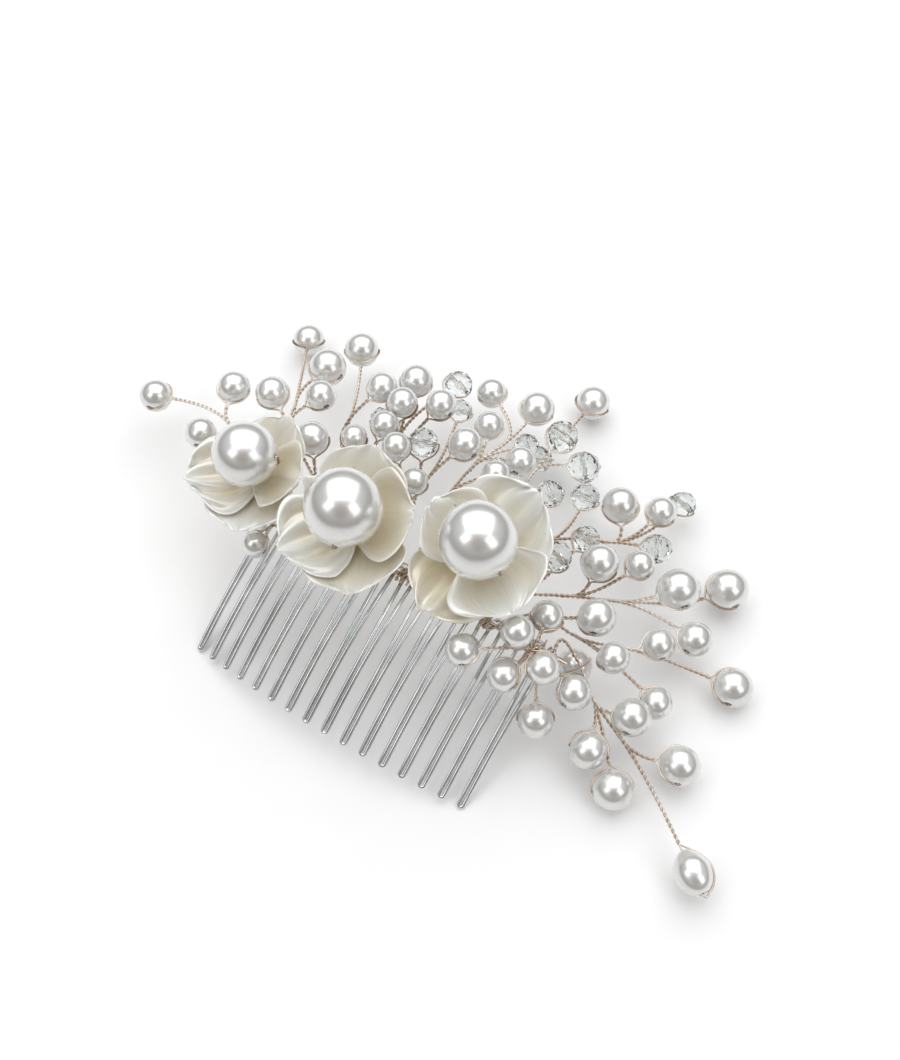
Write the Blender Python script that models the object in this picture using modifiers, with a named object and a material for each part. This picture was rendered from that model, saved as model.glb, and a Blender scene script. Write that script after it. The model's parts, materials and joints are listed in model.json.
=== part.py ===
"""Bridal hair comb: a wire comb with three shell flowers and sprays of pearls and crystals.

Everything is in metres, +Z up, with the comb lying on a table: the tooth tips and the outer
pearls rest at Z = 0.  The comb is drawn from the middle of its bar (X along the bar, Y behind
it), each flower and spray is laid out from its own slot on the bar, and the whole comb is then
set down with the middle of its footprint at the world origin.
"""
import math

import bmesh
import bpy
from mathutils import Matrix, Vector

MM = 0.001
CLEARANCE = 0.3 * MM
WELD_DISTANCE = 0.001 * MM

# Comb: one zig-zag wire, bent over a bar, on an arched surface that slopes down to the tips.
TOOTH_COUNT = 16
TOOTH_PITCH = 4.0 * MM
TOOTH_LENGTH = 32.0 * MM
TOOTH_WIRE = 0.8 * MM
PINCH_GAP = 0.1 * MM
PINCH_START = 0.66
SLOPE_AT_BAR = math.radians(14)
SLOPE_AT_TIP = math.radians(34)
ARCH_RADIUS = 66.5 * MM
ARCH_TILT = math.radians(27.7)
BAR_WIRE = 1.2 * MM
BAR_OVERHANG = 1.5 * MM

# Wires that hold the trimming.
VINE_WIRE = 1.0 * MM
VINE_OVERHANG = 3.0 * MM
BINDING_WIRE = 0.4 * MM
BINDING_REACH = 1.65 * MM
BINDING_SHIFT = -0.3 * MM
STEM_TWIST = 0.8 * MM
BRANCH_TWIST = 0.7 * MM
BRANCH_END = 1.0 * MM
LOOP_START = 1.6 * MM
FORK_OVERLAP = 0.3 * MM
FORK_STAGGER = 0.17 * MM
LOOP_WIRE = 0.4 * MM
STRAND_OFFSET = 0.1 * MM
BEAD_BORE = 1.1 * MM
DROP_STRETCH = 1.25
DROP_TAPER = 0.3
COIL_TURNS = 1.25
COIL_STEP = 0.85 * MM
FRONT_MARGIN = 1.5 * MM

# Flowers.
PETAL_THICKNESS = 0.4 * MM
PETAL_GAP = 0.35 * MM
EYELET_RADIUS = 1.7 * MM
PETAL_HOLE = 1.5 * MM
PLEAT_DEPTH = 0.25 * MM
PEARL_BORE = 1.2 * MM
FLOWER_NECK = 1.5 * MM
WIRE_ABOVE_PETALS = 0.4 * MM

# Heights on the comb, measured out of its surface and worked out from the wires.
BAR_HEIGHT = TOOTH_WIRE / 2 + CLEARANCE + BAR_WIRE / 2
COIL_RADIUS = VINE_WIRE / 2 + CLEARANCE + STEM_TWIST / 2
VINE_HEIGHT = BAR_HEIGHT + BAR_WIRE / 2 + CLEARANCE + STEM_TWIST / 2 + COIL_RADIUS
COMB_HALF = (TOOTH_COUNT - 1) * TOOTH_PITCH / 2
SLOT_SHIFT = 0.86

# The trimming from left to right: each coil sits in the next slot between two binding turns.
SLOTS = ("spray_far_left", "flower_left", "spray_under", "spray_back_left", "spray_mid_left",
         "flower_middle", "spray_middle", "spray_inner", "spray_back", "spray_back_right",
         "flower_right", "spray_high_right", "spray_long_right", "spray_right", "spray_front",
         "spray_low_right")

# Each flower: pearl centre from its slot and size, the lean of its axis (right, front, in
# degrees), the heading of the pearl's bore, and its petals from the lowest up: heading in
# degrees, length, half width and cup depth at the rim in mm.  Neighbours on the rim are two
# layers apart.
FLOWERS = {
    "flower_left": ((-6.5, 0, 12), 12.0, (-6, 15), 20, (
        (140, 10.0, 6.0, 5.0), (290, 13.0, 9.0, 5.0), (85, 11.0, 6.5, 6.0),
        (222, 12.5, 8.0, 5.5), (5, 10.5, 7.0, 7.5))),
    "flower_middle": ((0.5, -2, 17), 14.0, (4, 18), -72, (
        (172, 11.0, 6.5, 5.5), (308, 14.5, 9.5, 5.5), (100, 13.0, 8.5, 6.0),
        (242, 13.5, 8.5, 6.0), (28, 12.0, 8.5, 7.0))),
    "flower_right": ((3.5, 5, 17), 13.8, (6, 16), 155, (
        (15, 11.0, 6.0, 5.0), (262, 15.0, 8.5, 3.5), (72, 14.0, 9.5, 5.5),
        (328, 13.5, 9.5, 6.5), (170, 11.5, 7.5, 7.0))),
}
BOWL_RADIUS = 13.0 * MM
BOWL_POWER = 2.2

# Each spray: the points its stem passes, then its beads.  A bead is its centre, its size, what
# it is (P pearl, C crystal, D drop pearl), the stem point it forks from, and its own name when
# it is a separate bored bead.  Places are from the spray's slot, heights from the bar's middle,
# in whole or half millimetres as laid out by hand.
SPRAYS = {
    "spray_far_left": (
        [(-7.5, 8, -6), (-17.5, 12, -6)],
        [((-35.5, 11, -9), 6.5, "P", 1, "pearl_far_left"),
         ((-19.5, 6, -3), 6.0, "P", 0, None),
         ((-21.5, 19, -5), 6.5, "P", 1, "pearl_left")]),
    "spray_under": (
        [(-1.5, -4, 0)],
        [((-3.5, -9, -1), 5.0, "P", 0, None)]),
    "spray_back_left": (
        [(-6.5, 9, -4), (-18.5, 17, -5), (-21.5, 23, -6)],
        [((-11.5, 15, 0), 6.5, "P", 0, None),
         ((-25.5, 21, -3), 6.5, "P", 1, None),
         ((-16.5, 25, -2), 6.0, "P", 1, None),
         ((-21.5, 34, -7), 7.5, "P", 2, "pearl_back_left"),
         ((-32.5, 42, -15), 6.5, "P", 2, "pearl_far_back_left")]),
    "spray_mid_left": (
        [(-3.5, 9, -4), (-12.5, 20, -5), (-14.5, 26, -6)],
        [((-8.5, 19, 1), 5.0, "P", 0, None),
         ((-5.5, 25, 0), 5.5, "P", 0, None),
         ((-11.5, 33, -2), 6.0, "P", 1, None),
         ((-23.5, 43, -10), 7.0, "P", 2, "pearl_mid_back_left")]),
    "spray_middle": (
        [(-3.5, 9, -3), (-8.5, 19, -5), (-11.5, 26, -6)],
        [((-6.5, 34, 1), 6.0, "P", 1, None),
         ((-16.5, 28, -4), 4.5, "C", 1, None),
         ((-13.5, 31, 0), 6.0, "P", 1, None),
         ((-15.5, 39, -4), 6.5, "P", 2, "pearl_middle"),
         ((-9.5, 45, -8), 6.0, "C", 2, "crystal_middle")]),
    "spray_inner": (
        [(-2.5, 9, -3), (-5.5, 17, -5), (-6.5, 25, -7)],
        [((-11.5, 20, 4), 5.5, "P", 0, None),
         ((-5.5, 17, 1), 5.0, "P", 0, None),
         ((-9.5, 26, -1), 6.0, "C", 1, None),
         ((-2.5, 30, -1), 6.5, "P", 1, None),
         ((-10.5, 41, -10), 5.0, "C", 2, None)]),
    "spray_back": (
        [(-2.5, 10, -3), (-4.5, 20, -5), (-4.5, 30, -7), (-2.5, 38, -8)],
        [((1.5, 28, -2), 5.5, "P", 1, None),
         ((3.5, 34, -4), 6.0, "P", 2, None),
         ((-6.5, 39, -6), 5.5, "P", 2, None),
         ((1.5, 40, -8), 5.0, "C", 2, None),
         ((-11.5, 48, -10), 6.0, "P", 3, "pearl_back"),
         ((-1.5, 49, -9), 7.0, "P", 3, "pearl_far_back")]),
    "spray_back_right": (
        [(-0.5, 11, -3), (1.5, 23, -6), (1.5, 36, -9)],
        [((7.5, 32, -6), 5.5, "C", 1, None),
         ((2.5, 45, -7), 6.5, "C", 2, None),
         ((8.5, 44, -12), 6.5, "C", 2, "crystal_back_right"),
         ((-0.5, 42, -14), 5.5, "C", 2, None),
         ((1.5, 60, -15), 7.0, "P", 2, "pearl_back_right")]),
    "spray_high_right": (
        [(-0.5, 12, -3), (4.5, 24, -7), (13.5, 31, -10)],
        [((4.5, 37, -10), 5.8, "C", 1, None),
         ((11.5, 38, -8), 7.0, "P", 2, "pearl_high_right"),
         ((18.5, 42, -10), 6.0, "P", 2, None),
         ((20.5, 48, -14), 5.5, "C", 2, None),
         ((21.5, 35, -11), 5.8, "C", 2, "crystal_high_right")]),
    "spray_long_right": (
        [(2.5, 9, -3), (9.5, 15, -6), (16.5, 20, -9), (24.5, 27, -13.5)],
        [((6.5, 26, -4), 5.3, "C", 0, None),
         ((4.5, 18, 0), 6.0, "C", 0, None),
         ((11.5, 22, -2), 7.0, "P", 1, "pearl_inner_right"),
         ((17.5, 27, -5), 5.5, "P", 1, None),
         ((25.5, 28, -8), 8.0, "P", 2, "pearl_long_right"),
         ((32.5, 36, -14), 8.0, "P", 3, "pearl_long_tip"),
         ((32.5, 22, -11), 6.5, "P", 2, None)]),
    "spray_right": (
        [(4.5, 8, -4), (11.5, 9, -7), (18.5, 13, -10)],
        [((12.5, 12, -2), 7.0, "P", 0, None),
         ((23.5, 17, -10), 6.0, "P", 2, None),
         ((18.5, 8, -5), 6.0, "P", 1, None),
         ((28.5, 7, -11), 6.0, "P", 1, None),
         ((38.5, 19, -15), 7.5, "P", 2, "pearl_right_tip")]),
    "spray_front": (
        [(2.5, -2, 1)],
        [((1.5, 6, 1), 6.0, "P", 0, None),
         ((-0.5, -1, 5), 6.0, "P", 0, None),
         ((6, -3, 1), 6.0, "P", 0, None),
         ((12, -2, -4), 6.5, "P", 0, "pearl_front"),
         ((-7.5, -8, 2), 6.0, "P", 0, None),
         ((0.5, -7, -1), 6.0, "P", 0, None),
         ((8.5, -9, -7), 6.5, "P", 0, "pearl_front_low")]),
    "spray_low_right": (
        [(5.5, 4, -5), (10.5, 1, -9), (18.5, -2, -12)],
        [((4.5, 5, -10), 6.5, "P", 0, None),
         ((14.5, -7, -12), 7.0, "P", 1, None),
         ((18.5, 1, -8), 7.0, "P", 1, None),
         ((21.5, -10, -15), 7.5, "P", 1, "pearl_low_near"),
         ((29.5, 0, -14), 7.5, "P", 2, "pearl_low_right"),
         ((40.5, -16, -14), 6.8, "D", 2, "pearl_drop")]),
}

FINISHES = {
    # name: colour, metallic, roughness
    "comb_wire": ((0.62, 0.63, 0.66), 1.0, 0.28),
    "trim_wire": ((0.72, 0.62, 0.50), 1.0, 0.35),
    "shell": ((0.86, 0.82, 0.73), 0.0, 0.30),
    "pearl": ((0.88, 0.87, 0.84), 0.0, 0.16),
    "crystal": ((0.80, 0.84, 0.84), 0.0, 0.05),
}


# ---------------------------------------------------------------- scene and small tools

def clear_scene():
    for thing in list(bpy.data.objects):
        bpy.data.objects.remove(thing, do_unlink=True)


def new_collection(name):
    group = bpy.data.collections.new(name)
    bpy.context.scene.collection.children.link(group)
    return group


def new_material(name, finish):
    colour, metallic, roughness = FINISHES[finish]
    material = bpy.data.materials.new(name)
    material.use_nodes = True
    shader = material.node_tree.nodes["Principled BSDF"]
    shader.inputs["Base Color"].default_value = (*colour, 1.0)
    shader.inputs["Metallic"].default_value = metallic
    shader.inputs["Roughness"].default_value = roughness
    return material


def finish_piece(piece, name, finish):
    """Name a piece and give it a material of its own."""
    piece.name = name
    piece.data.name = name
    piece.data.materials.clear()
    piece.data.materials.append(new_material(name, finish))
    return piece


def add_mesh(name, mesh, group, parent):
    piece = bpy.data.objects.new(name, mesh)
    group.objects.link(piece)
    piece.parent = parent
    return piece


def add_empty(name, group, parent=None, matrix=None):
    empty = bpy.data.objects.new(name, None)
    empty.empty_display_size = 5 * MM
    group.objects.link(empty)
    empty.parent = parent
    if matrix is not None:
        empty.matrix_local = matrix
    return empty


def evaluated_mesh(piece, weld=False):
    """The mesh of a curve or a modified piece; a curve's loose caps are welded on."""
    bpy.context.view_layer.update()
    graph = bpy.context.evaluated_depsgraph_get()
    mesh = bpy.data.meshes.new_from_object(piece.evaluated_get(graph))
    if weld:
        shape = bmesh.new()
        shape.from_mesh(mesh)
        bmesh.ops.remove_doubles(shape, verts=shape.verts, dist=WELD_DISTANCE)
        shape.to_mesh(mesh)
        shape.free()
    return mesh


def add_tube(name, points, diameter, group, parent, smoothness=0):
    """A wire through the points; smoothness 0 has four sides, and each step adds two."""
    curve = bpy.data.curves.new(name, "CURVE")
    curve.dimensions = "3D"
    curve.bevel_depth = diameter / 2
    curve.bevel_resolution = smoothness
    curve.use_fill_caps = True
    spline = curve.splines.new("POLY")
    spline.points.add(len(points) - 1)
    for knot, point in zip(spline.points, points):
        knot.co = (*point, 1.0)
    piece = bpy.data.objects.new(name, curve)
    group.objects.link(piece)
    piece.parent = parent
    return piece


def tube_mesh(points, diameter, group, smoothness=0):
    """The same wire as a closed mesh, so that it can be joined to others."""
    piece = add_tube("wire_blank", points, diameter, group, None, smoothness)
    mesh = evaluated_mesh(piece, weld=True)
    curve = piece.data
    bpy.data.objects.remove(piece, do_unlink=True)
    bpy.data.curves.remove(curve)
    return mesh


def joined(name, meshes, group, parent):
    """One solid from overlapping closed meshes, in a single union."""
    piece = add_mesh(name, meshes[0], group, parent)
    additions = bpy.data.collections.new("additions")
    for mesh in meshes[1:]:
        additions.objects.link(add_mesh("addition", mesh, group, parent))
    union = piece.modifiers.new("join", "BOOLEAN")
    union.operation = "UNION"
    union.solver = "EXACT"
    union.use_self = True
    union.operand_type = "COLLECTION"
    union.collection = additions
    piece.data = evaluated_mesh(piece)
    piece.modifiers.clear()
    for addition in list(additions.objects):
        bpy.data.objects.remove(addition, do_unlink=True)
    bpy.data.collections.remove(additions)
    return piece


# ---------------------------------------------------------------- the comb's surface

def bar_drop_and_run(along):
    """How far a tooth has dropped and come forward at a distance from the bar."""
    turn = (SLOPE_AT_TIP - SLOPE_AT_BAR) / TOOTH_LENGTH
    slope = SLOPE_AT_BAR + turn * along
    drop = (math.cos(SLOPE_AT_BAR) - math.cos(slope)) / turn
    run = (math.sin(slope) - math.sin(SLOPE_AT_BAR)) / turn
    return drop, run


def arch_sag():
    end = COMB_HALF / ARCH_RADIUS
    return ARCH_RADIUS * (1 - math.cos(end)) * math.cos(ARCH_TILT)


BAR_Z = bar_drop_and_run(TOOTH_LENGTH)[0] + arch_sag() + TOOTH_WIRE / 2


def on_comb(across, along, out=0.0):
    """A point on the comb: across the teeth, along them from the bar, and out of the surface."""
    angle = across / ARCH_RADIUS
    drop, run = bar_drop_and_run(max(along, 0.0))
    behind = min(along, 0.0)
    rise = (ARCH_RADIUS + out) * math.cos(angle) - ARCH_RADIUS
    x = (ARCH_RADIUS + out) * math.sin(angle)
    y = -run - behind * math.cos(SLOPE_AT_BAR) - rise * math.sin(ARCH_TILT)
    z = BAR_Z - drop - behind * math.sin(SLOPE_AT_BAR) + rise * math.cos(ARCH_TILT)
    return Vector((x, y, z))


def slot_across(index):
    """Where a coil sits on the vine, clear of the binding on both sides."""
    return -COMB_HALF + (index - 1 + SLOT_SHIFT) * TOOTH_PITCH


def slot_point(index, place):
    """A point laid out in mm from a slot: across from it, behind and above the bar's middle."""
    return Vector((slot_across(index), 0.0, BAR_Z)) + Vector(place) * MM


# ---------------------------------------------------------------- comb, bar, binding, vine

def tooth_wire_points():
    """One wire: down one leg, round the tip, up the other, and over to the next tooth."""
    wide = TOOTH_PITCH / 4
    pinched = (TOOTH_WIRE + PINCH_GAP) / 2
    leg_steps = 4
    points = []
    for tooth in range(TOOTH_COUNT):
        middle = -COMB_HALF + tooth * TOOTH_PITCH
        leg = []
        for step in range(leg_steps + 1):
            along = (TOOTH_LENGTH - pinched) * step / leg_steps
            closing = min(1.0, along / (PINCH_START * TOOTH_LENGTH))
            closing = 1 - (1 - closing) ** 1.5
            leg.append((wide + (pinched - wide) * closing, along))
        points += [on_comb(middle - half, along) for half, along in leg]
        points.append(on_comb(middle, TOOTH_LENGTH))
        points += [on_comb(middle + half, along) for half, along in reversed(leg)]
        if tooth < TOOTH_COUNT - 1:
            for turn in (45, 90, 135):
                angle = math.radians(turn)
                across = middle + 2 * wide - wide * math.cos(angle)
                points.append(on_comb(across, -wide * math.sin(angle)))
    return points


def along_bar(half_length, steps, out):
    return [on_comb(-half_length + 2 * half_length * step / steps, 0.0, out)
            for step in range(steps + 1)]


def binding_points():
    """A winding round teeth, bar and vine, one turn to a tooth, between the legs."""
    low = -TOOTH_WIRE / 2 - CLEARANCE - BINDING_WIRE / 2
    high = VINE_HEIGHT + VINE_WIRE / 2 + CLEARANCE + BINDING_WIRE / 2
    centre_out = (low + high) / 2
    half_out = (high - low) / 2
    steps_per_turn = 10
    start = -math.asin(min(1.0, centre_out / half_out))
    points = []
    for step in range((TOOTH_COUNT - 1) * steps_per_turn + 1):
        turn = step / steps_per_turn
        angle = start + turn * 2 * math.pi
        points.append(on_comb(-COMB_HALF + turn * TOOTH_PITCH,
                              BINDING_SHIFT + BINDING_REACH * math.cos(angle),
                              centre_out + half_out * math.sin(angle)))
    return points


def make_comb(group, root):
    teeth = add_tube("comb_teeth", tooth_wire_points(), TOOTH_WIRE, group, root)
    finish_piece(teeth, "comb_teeth", "comb_wire")
    bar = add_tube("comb_bar", along_bar(COMB_HALF + BAR_OVERHANG, 16, BAR_HEIGHT),
                   BAR_WIRE, group, root, 1)
    finish_piece(bar, "comb_bar", "comb_wire")
    vine = add_tube("vine_wire", along_bar(COMB_HALF + VINE_OVERHANG, 16, VINE_HEIGHT),
                    VINE_WIRE, group, root, 1)
    finish_piece(vine, "vine_wire", "trim_wire")
    binding = add_tube("binding_wire", binding_points(), BINDING_WIRE, group, root)
    finish_piece(binding, "binding_wire", "trim_wire")


def coil_points(slot, leave_back=True):
    """A stem's tail, wound round the vine from its front or back and left over the top."""
    steps_per_turn = 8
    steps = round(COIL_TURNS * steps_per_turn)
    side = -1 if leave_back else 1
    points = []
    for step in range(steps + 1):
        angle = 2 * math.pi * (step - steps) / steps_per_turn + math.pi / 2
        across = slot_across(slot) + COIL_STEP * (step / steps_per_turn - COIL_TURNS / 2)
        points.append(on_comb(across, -side * COIL_RADIUS * math.cos(angle),
                              VINE_HEIGHT + COIL_RADIUS * math.sin(angle)))
    points.append(on_comb(across, side * 3.0 * COIL_RADIUS, VINE_HEIGHT + 0.3 * COIL_RADIUS))
    return points


# ---------------------------------------------------------------- beads

def ring_profile(name, outline, steps, smooth, group, parent):
    """A bored bead: its outline, from the top of the bore down the outside, turned about Z."""
    mesh = bpy.data.meshes.new(name)
    corners = [(x, 0.0, z) for x, z in outline]
    edges = [(index, (index + 1) % len(corners)) for index in range(len(corners))]
    mesh.from_pydata(corners, edges, [])
    bead = add_mesh(name, mesh, group, parent)
    turn = bead.modifiers.new("turn", "SCREW")
    turn.axis = "Z"
    turn.angle = 2 * math.pi
    turn.steps = steps
    turn.render_steps = steps
    turn.use_merge_vertices = True
    turn.merge_threshold = WELD_DISTANCE
    turn.use_smooth_shade = smooth
    return bead


def bead_outline(diameter, bore, rows, stretch=1.0, taper=0.0):
    """From the top of the bore down the outside; taper draws in the top of a drop."""
    radius = diameter / 2
    top = math.acos(bore / 2 / radius)
    outline = []
    for row in range(rows + 1):
        angle = top - 2 * top * row / rows
        drawn_in = 1 - taper * max(0.0, math.sin(angle)) ** 2
        outline.append((radius * math.cos(angle) * drawn_in, stretch * radius * math.sin(angle)))
    return outline


def add_bead(name, kind, diameter, bore, matrix, group, parent, rows=5, steps=9):
    if kind == "C":
        rows, steps = 4, 8
    stretch, taper = (DROP_STRETCH, DROP_TAPER) if kind == "D" else (1.0, 0.0)
    bead = ring_profile(name, bead_outline(diameter, bore, rows, stretch, taper), steps,
                        kind != "C", group, parent)
    bead.matrix_local = matrix
    return finish_piece(bead, name, "crystal" if kind == "C" else "pearl")


def solid_bead_mesh(kind, centre, diameter):
    """A plain ball for a bead that is joined to its stem."""
    shape = bmesh.new()
    if kind == "C":
        bmesh.ops.create_uvsphere(shape, u_segments=7, v_segments=4, radius=diameter / 2)
    else:
        bmesh.ops.create_uvsphere(shape, u_segments=7, v_segments=5, radius=diameter / 2)
    bmesh.ops.translate(shape, verts=shape.verts, vec=centre)
    mesh = bpy.data.meshes.new("ball")
    shape.to_mesh(mesh)
    shape.free()
    return mesh


def frame_along(centre, bore_axis):
    """A placement whose Z lies along the bore."""
    return Matrix.Translation(centre) @ bore_axis.to_track_quat("Z", "Y").to_matrix().to_4x4()


def loop_points(centre, radius, toward_stem, bore_axis):
    """A wire from the stem round one side of a bead, through its bore and back."""
    reach = radius + CLEARANCE + LOOP_WIRE / 2
    one_side = [centre + toward_stem * (radius + LOOP_START) + bore_axis * STRAND_OFFSET]
    side = (bore_axis + toward_stem).normalized()
    one_side.append(centre + side * reach * 1.08)
    one_side.append(centre + bore_axis * reach)
    mirror = [point - 2 * (point - centre).dot(bore_axis) * bore_axis for point in one_side]
    return one_side + mirror[::-1]


def drop_wires(centre, radius, toward_stem, side):
    """A wire through the length of a drop, and its return over one side to the stem."""
    half_length = radius * DROP_STRETCH
    gap = CLEARANCE + LOOP_WIRE / 2
    start = centre + toward_stem * (half_length + LOOP_START)
    thread = [start, centre - toward_stem * (half_length + gap + CLEARANCE)]
    back = [start + (toward_stem + side) * STRAND_OFFSET]
    for turn in (20, 55, 90, 125, 155):
        angle = math.radians(turn)
        back.append(centre + toward_stem * math.cos(angle) * (half_length + gap) * 1.04
                    + side * math.sin(angle) * (radius + gap) * 1.04)
    back.append(centre - toward_stem * (half_length + gap) - side * STRAND_OFFSET)
    return thread, back


# ---------------------------------------------------------------- sprays

def bent(start, control, end, steps):
    """A gentle bend from start to end, drawn towards the control point."""
    points = []
    for step in range(steps + 1):
        t = step / steps
        points.append(start * (1 - t) ** 2 + control * 2 * t * (1 - t) + end * t * t)
    return points


def make_spray(name, slot, group, root):
    stops, beads = SPRAYS[name]
    stops = [slot_point(slot, stop) for stop in stops]
    front = stops[0].y < on_comb(slot_across(slot), 0, VINE_HEIGHT).y - FRONT_MARGIN
    stem = coil_points(slot, leave_back=not front) + stops
    pieces = [tube_mesh(stem, STEM_TWIST, group)]
    for number, (centre, size, kind, fork, own_name) in enumerate(beads):
        centre = slot_point(slot, centre)
        radius = size * MM / 2
        before = stem[stem.index(stops[fork]) - 1]
        heading = (stops[fork] - before).normalized()
        span = (centre - stops[fork]).length
        start = stops[fork] - heading * (FORK_OVERLAP + number * FORK_STAGGER)
        control = stops[fork] + heading * 0.3 * span
        toward_stem = (control - centre).normalized()
        if own_name is None:
            end = centre + toward_stem * radius * 0.5
            pieces.append(tube_mesh(bent(start, control, end, 2), BRANCH_TWIST, group))
            pieces.append(solid_bead_mesh(kind, centre, size * MM))
            continue
        level = toward_stem.cross(Vector((0, 0, 1))).normalized()
        reach = radius * DROP_STRETCH if kind == "D" else radius
        end = centre + toward_stem * (reach + BRANCH_END)
        pieces.append(tube_mesh(bent(start, control, end, 2), BRANCH_TWIST, group))
        if kind == "D":
            bore_axis = toward_stem
            wires = drop_wires(centre, radius, toward_stem, level)
        else:
            bore_axis = level
            wires = [loop_points(centre, radius, toward_stem, bore_axis)]
        pieces += [tube_mesh(wire, LOOP_WIRE, group) for wire in wires]
        add_bead(own_name, kind, size * MM, BEAD_BORE, frame_along(centre, bore_axis),
                 group, root)
    spray = joined(name, pieces, group, root)
    finish_piece(spray, name, "trim_wire")


# ---------------------------------------------------------------- flowers

def petal_mesh(name, heading, length, half_width, cup):
    """A cupped, pleated petal with a round eyelet, on a bowl about the flower's axis."""
    shape = bmesh.new()
    bmesh.ops.create_grid(shape, x_segments=5, y_segments=4, size=1.0)
    for corner in shape.verts:
        across, out = corner.co.x, (corner.co.y + 1) / 2
        swell = math.sin(math.pi / 2 * min(1.0, out / 0.68)) ** 1.4
        narrowing = max(0.0, (out - 0.68) / 0.32) ** 2
        half = EYELET_RADIUS + (half_width - EYELET_RADIUS) * swell
        half *= 1 - 0.28 * narrowing
        x = across * half
        y = -EYELET_RADIUS + (length + EYELET_RADIUS) * out * (1 - 0.13 * across * across * out)
        spread = math.hypot(x, max(y, 0.0)) / BOWL_RADIUS
        pleat = PLEAT_DEPTH * spread * math.cos(across * math.pi * 2)
        corner.co = Vector((x, y, cup * spread ** BOWL_POWER + pleat))
    bmesh.ops.rotate(shape, verts=shape.verts, cent=(0, 0, 0),
                     matrix=Matrix.Rotation(math.radians(heading - 90), 3, "Z"))
    mesh = bpy.data.meshes.new(name)
    shape.to_mesh(mesh)
    shape.free()
    return mesh


def make_flower(name, slot, group, cutters, root):
    pearl_at, pearl_size, lean, bore_heading, petals = FLOWERS[name]
    pearl_size *= MM
    stack = (len(petals) - 1) * (PETAL_THICKNESS + PETAL_GAP) + PETAL_THICKNESS
    pearl_lift = stack + CLEARANCE * 3 + LOOP_WIRE + pearl_size / 2
    tilt = Matrix.Rotation(math.radians(lean[0]), 4, "Y") @ \
        Matrix.Rotation(math.radians(lean[1]), 4, "X")
    place = Matrix.Translation(slot_point(slot, pearl_at)) @ tilt @ \
        Matrix.Translation((0, 0, -pearl_lift))
    flower = add_empty(name, group, root, place)

    for layer, (heading, length, half_width, cup) in enumerate(petals):
        title = f"{name}_petal_{layer + 1}"
        mesh = petal_mesh(title, heading, length * MM, half_width * MM, cup * MM)
        petal = add_mesh(title, mesh, group, flower)
        petal.location.z = layer * (PETAL_THICKNESS + PETAL_GAP)
        wall = petal.modifiers.new("thickness", "SOLIDIFY")
        wall.thickness = PETAL_THICKNESS
        wall.offset = 1.0
        hole = petal.modifiers.new("eyelet", "BOOLEAN")
        hole.operation = "DIFFERENCE"
        hole.solver = "EXACT"
        hole.object = eyelet_cutter(f"{title}_eyelet", cutters, flower)
        finish_piece(petal, title, "shell")

    bore_axis = Matrix.Rotation(math.radians(bore_heading), 3, "Z") @ Vector((1, 0, 0))
    centre = Vector((0, 0, pearl_lift))
    pearl = add_bead(f"{name}_pearl", "P", pearl_size, PEARL_BORE,
                     frame_along(centre, bore_axis), group, flower, rows=8, steps=14)
    pearl.data.materials[0].node_tree.nodes["Principled BSDF"].inputs[
        "Coat Weight"].default_value = 0.5

    below = place @ Vector((0, 0, -FLOWER_NECK))
    top = place @ Vector((0, 0, stack + WIRE_ABOVE_PETALS))
    front = below.y < on_comb(slot_across(slot), 0, VINE_HEIGHT).y - FRONT_MARGIN
    coil = coil_points(slot, leave_back=not front)
    stem = tube_mesh(coil + [below, top], STEM_TWIST, group)
    reach = pearl_size / 2 + CLEARANCE + LOOP_WIRE / 2
    half = [Vector((0, 0, stack + STRAND_OFFSET)) + bore_axis * STRAND_OFFSET]
    for turn in (8, 25, 50, 72):
        angle = math.radians(turn)
        half.append(centre + (bore_axis * math.sin(angle)
                              - Vector((0, 0, math.cos(angle)))) * reach * 1.015)
    half.append(centre + bore_axis * (reach + 0.05 * MM))
    mirror = [Vector((-point.x, -point.y, point.z)) for point in half]
    loop = [place @ point for point in half + mirror[::-1]]
    wire = joined(f"{name}_wire", [stem, tube_mesh(loop, LOOP_WIRE, group)], group, root)
    finish_piece(wire, f"{name}_wire", "trim_wire")


def eyelet_cutter(name, cutters, parent):
    shape = bmesh.new()
    bmesh.ops.create_cone(shape, cap_ends=True, segments=8, radius1=PETAL_HOLE / 2,
                          radius2=PETAL_HOLE / 2, depth=12 * MM)
    mesh = bpy.data.meshes.new(name)
    shape.to_mesh(mesh)
    shape.free()
    cutter = add_mesh(name, mesh, cutters, parent)
    cutter.display_type = "WIRE"
    cutter.hide_render = True
    return cutter


# ---------------------------------------------------------------- setting down

def set_down(root, group):
    """Move the root so that the middle of the footprint is at the world origin."""
    bpy.context.view_layer.update()
    graph = bpy.context.evaluated_depsgraph_get()
    corners = []
    for piece in group.objects:
        if piece.type == "EMPTY":
            continue
        solid = piece.evaluated_get(graph)
        mesh = solid.to_mesh()
        corners += [piece.matrix_world @ corner.co for corner in mesh.vertices]
        solid.to_mesh_clear()
    middle_x = (min(c.x for c in corners) + max(c.x for c in corners)) / 2
    middle_y = (min(c.y for c in corners) + max(c.y for c in corners)) / 2
    lowest = min(c.z for c in corners)
    root.location = (-middle_x, -middle_y, -lowest)


def main():
    clear_scene()
    group = new_collection("hair_comb")
    cutters = new_collection("cutters")
    root = add_empty("comb_root", group)
    make_comb(group, root)
    for slot, name in enumerate(SLOTS):
        if name in FLOWERS:
            make_flower(name, slot, group, cutters, root)
        else:
            make_spray(name, slot, group, root)
    set_down(root, group)


main()
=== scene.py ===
import json
import math

import bmesh
import bpy
from mathutils import Matrix, Vector, noise


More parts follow.
